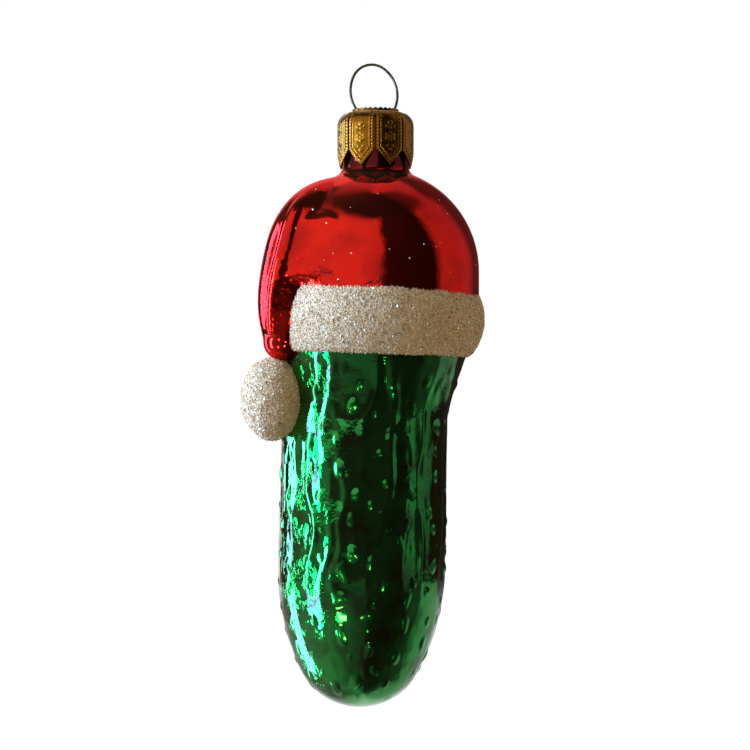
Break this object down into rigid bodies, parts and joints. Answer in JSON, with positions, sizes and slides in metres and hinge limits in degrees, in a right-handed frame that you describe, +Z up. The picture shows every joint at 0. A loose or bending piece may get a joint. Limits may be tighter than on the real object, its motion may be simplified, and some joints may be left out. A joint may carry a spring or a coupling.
{
  "type": "pickle ornament",
  "caption": "Blown-glass hanging pickle with moulded warts and a folded red hat, glitter brim and pompom, a stamped crown cap and a spring-wire hanging loop.",
  "frame": {"origin": "on the neck's axis, where a hook bears under the top of the hanging loop", "axes": "+Z up along the neck's axis, +X to the right and -Y to the front, where the loop shows its full oval"},
  "size_m": [0.0416, 0.0378, 0.1099],
  "materials": {
    "green_glass": "clear glass, silvered inside and lacquered transparent green, mirror bright",
    "red_lacquer": "transparent red lacquer over silvered glass, mirror bright",
    "white_glitter": "coarse clear and silvered glass glitter set in white glue",
    "gilt_sheet": "thin stamped sheet with a worn gold lacquer",
    "spring_wire": "dark oiled spring wire"
  },
  "bodies": {
    "hanger": {"hanger_wire": "spring_wire"},
    "cap": {"cap": "gilt_sheet"},
    "glass": {"glass_body": "green_glass", "hat_lacquer": "red_lacquer", "brim_glitter": "white_glitter", "pompom_glitter": "white_glitter"}
  },
  "joints": [
    {"name": "hanger_turn", "type": "hinge", "parent": "hanger", "child": "cap", "pos_m": [0, 0, -0.0075], "axis": [0, 0, 1], "continuous": true},
    {"name": "glass_pull", "type": "slide", "parent": "cap", "child": "glass", "axis": [0, 0, -1], "range_m": [0, 0.016]}
  ]
}
